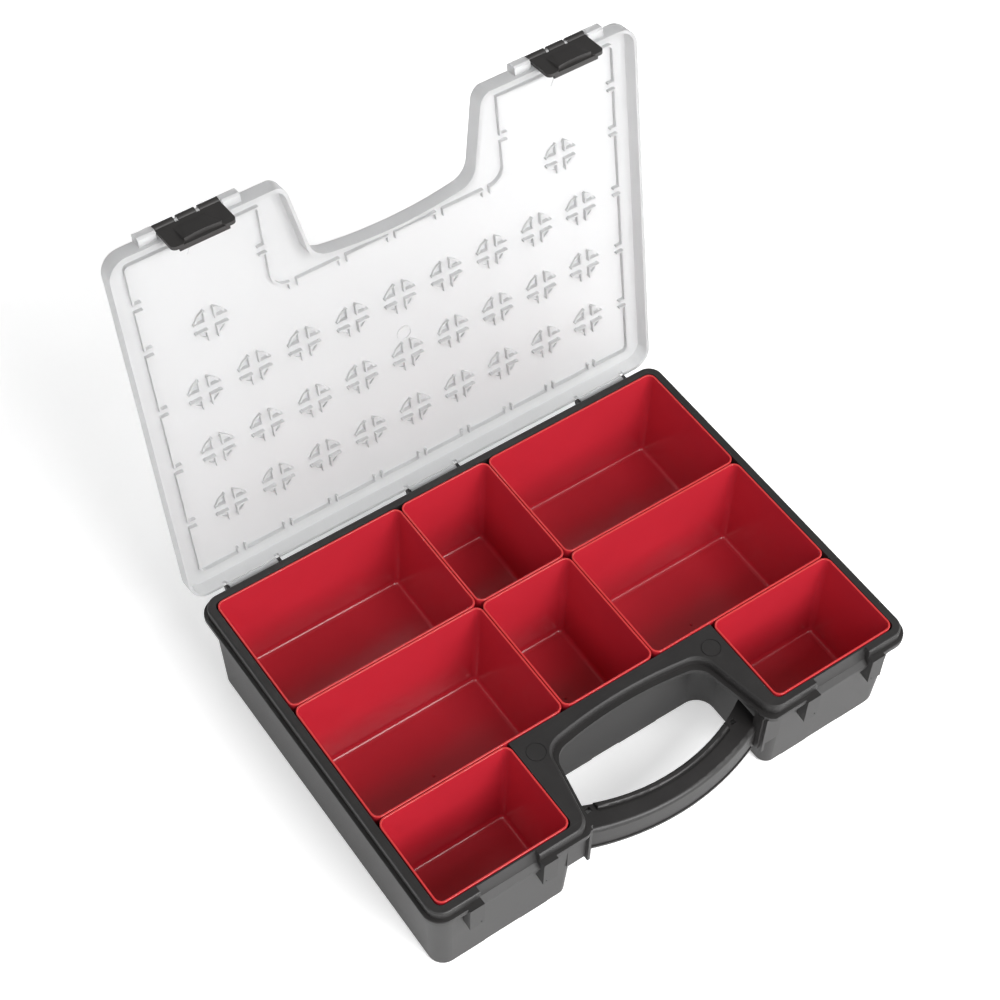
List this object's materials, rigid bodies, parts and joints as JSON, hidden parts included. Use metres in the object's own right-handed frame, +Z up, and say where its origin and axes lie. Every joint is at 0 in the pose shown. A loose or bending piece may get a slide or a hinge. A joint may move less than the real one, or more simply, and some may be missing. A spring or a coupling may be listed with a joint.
{
  "type": "parts organizer",
  "caption": "Portable organizer case with lift-out trays, a hinged clear lid, swinging latches and a moulded carrying handle.",
  "frame": {"origin": "centre of the flat underside that the case stands on, midway between its sides, front and back", "axes": "+Z up, X along the lid hinge, -Y towards the carrying handle, +Y towards the hinge"},
  "size_m": [0.336, 0.312, 0.323],
  "materials": {
    "case_plastic": "satin black moulded polypropylene with a fine grain",
    "lid_plastic": "frosted clear moulded polypropylene",
    "latch_plastic": "satin black moulded polypropylene",
    "tray_plastic": "glossy red moulded polypropylene"
  },
  "bodies": {
    "case": {"case_base": "case_plastic"},
    "lid": {"lid": "lid_plastic"},
    "latch_left": {"latch_left": "latch_plastic"},
    "latch_right": {"latch_right": "latch_plastic"},
    "tray_back_left": {"tray_back_left": "tray_plastic"},
    "tray_back_middle": {"tray_back_middle": "tray_plastic"},
    "tray_back_right": {"tray_back_right": "tray_plastic"},
    "tray_middle_left": {"tray_middle_left": "tray_plastic"},
    "tray_centre": {"tray_centre": "tray_plastic"},
    "tray_middle_right": {"tray_middle_right": "tray_plastic"},
    "tray_front_left": {"tray_front_left": "tray_plastic"},
    "tray_front_right": {"tray_front_right": "tray_plastic"}
  },
  "joints": [
    {"name": "lid_hinge", "type": "hinge", "parent": "case", "child": "lid", "pos_m": [0, 0.127, 0.067], "axis": [-1, 0, 0], "range_deg": [-99.9, 0]},
    {"name": "latch_left_pivot", "type": "hinge", "parent": "lid", "child": "latch_left", "pos_m": [-0.117, 0.17886, 0.31762], "axis": [-1, 0, 0], "range_deg": [-10.5, 100]},
    {"name": "latch_right_pivot", "type": "hinge", "parent": "lid", "child": "latch_right", "pos_m": [0.117, 0.17886, 0.31762], "axis": [-1, 0, 0], "range_deg": [-10.5, 100]},
    {"name": "tray_back_left_lift", "type": "slide", "parent": "case", "child": "tray_back_left", "axis": [0, 0, 1], "range_m": [0, 0.08]},
    {"name": "tray_back_middle_lift", "type": "slide", "parent": "case", "child": "tray_back_middle", "axis": [0, 0, 1], "range_m": [0, 0.08]},
    {"name": "tray_back_right_lift", "type": "slide", "parent": "case", "child": "tray_back_right", "axis": [0, 0, 1], "range_m": [0, 0.08]},
    {"name": "tray_middle_left_lift", "type": "slide", "parent": "case", "child": "tray_middle_left", "axis": [0, 0, 1], "range_m": [0, 0.08]},
    {"name": "tray_centre_lift", "type": "slide", "parent": "case", "child": "tray_centre", "axis": [0, 0, 1], "range_m": [0, 0.08]},
    {"name": "tray_middle_right_lift", "type": "slide", "parent": "case", "child": "tray_middle_right", "axis": [0, 0, 1], "range_m": [0, 0.08]},
    {"name": "tray_front_left_lift", "type": "slide", "parent": "case", "child": "tray_front_left", "axis": [0, 0, 1], "range_m": [0, 0.08]},
    {"name": "tray_front_right_lift", "type": "slide", "parent": "case", "child": "tray_front_right", "axis": [0, 0, 1], "range_m": [0, 0.08]}
  ]
}
